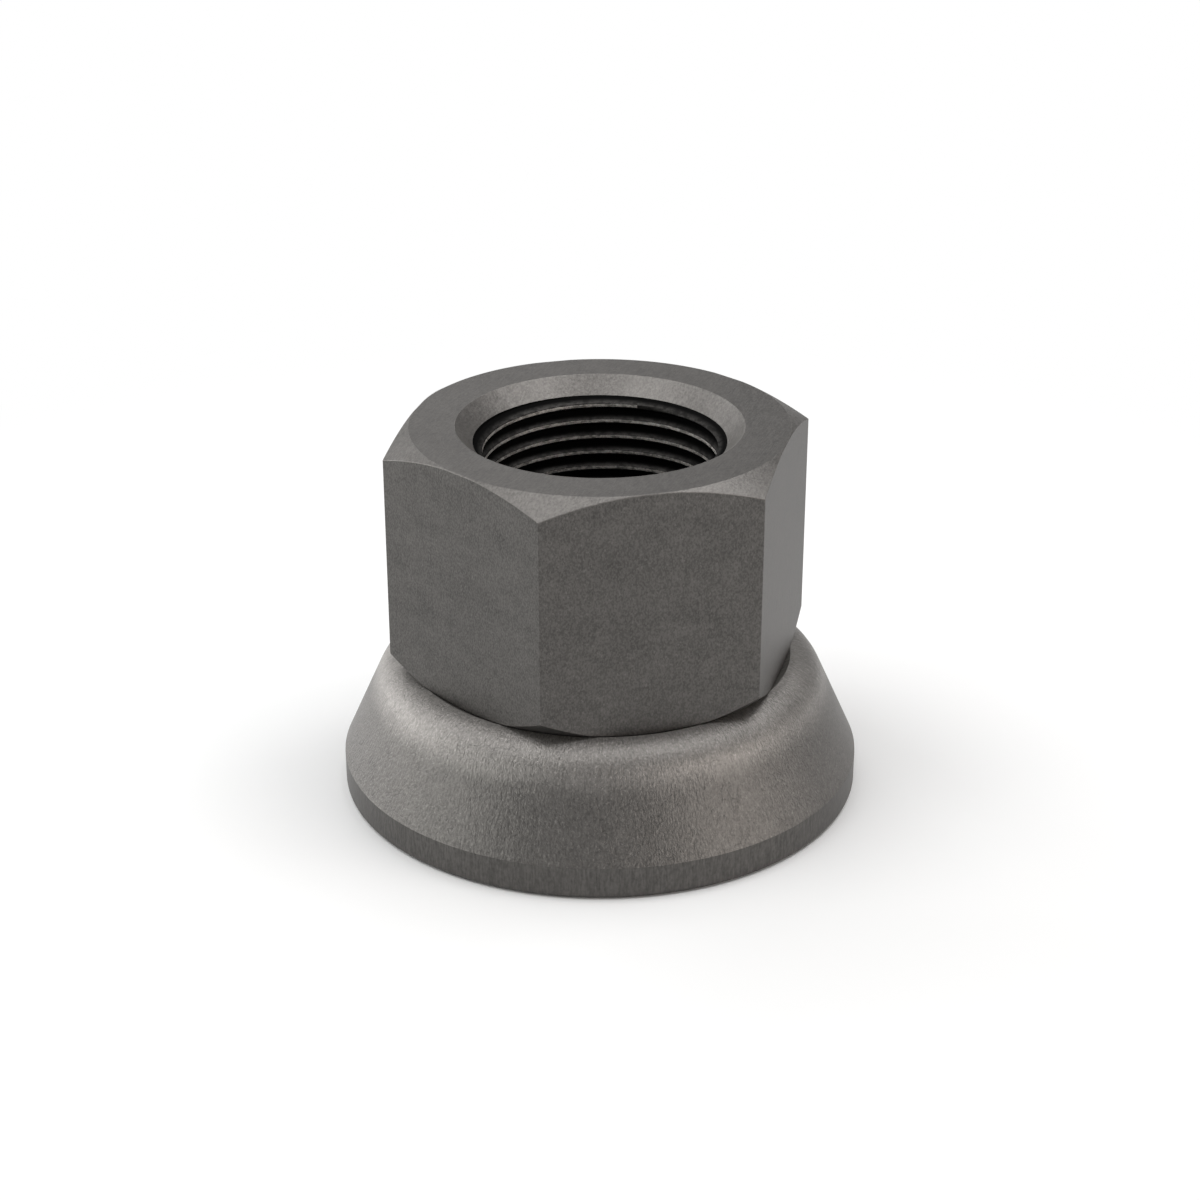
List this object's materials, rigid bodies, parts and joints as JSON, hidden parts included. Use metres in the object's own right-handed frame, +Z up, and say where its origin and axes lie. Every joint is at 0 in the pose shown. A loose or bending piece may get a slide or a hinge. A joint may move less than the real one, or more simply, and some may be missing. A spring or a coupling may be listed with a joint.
{
  "type": "wheel nut",
  "caption": "Hexagon wheel nut with a captive conical pressure washer that spins on a swaged collar; countersunk threaded bore and a flat bearing face.",
  "frame": {"origin": "centre of the washer's bearing face, in the plane where it meets the wheel", "axes": "+Z runs up the thread axis from the wheel to the top of the hexagon, and two corners of the hexagon lie on the X axis"},
  "size_m": [0.0463, 0.0462, 0.0336],
  "materials": {
    "nut_steel": "dark satin, lightly brushed flats, plain turned ends",
    "washer_steel": "dark satin, fine forged grain with faint handling scratches"
  },
  "bodies": {
    "washer": {"pressure_washer": "washer_steel"},
    "nut": {"hex_nut": "nut_steel"}
  },
  "joints": [
    {"name": "nut_spin", "type": "hinge", "parent": "washer", "child": "nut", "pos_m": [0, 0, 0.0117], "axis": [0, 0, 1], "continuous": true}
  ]
}
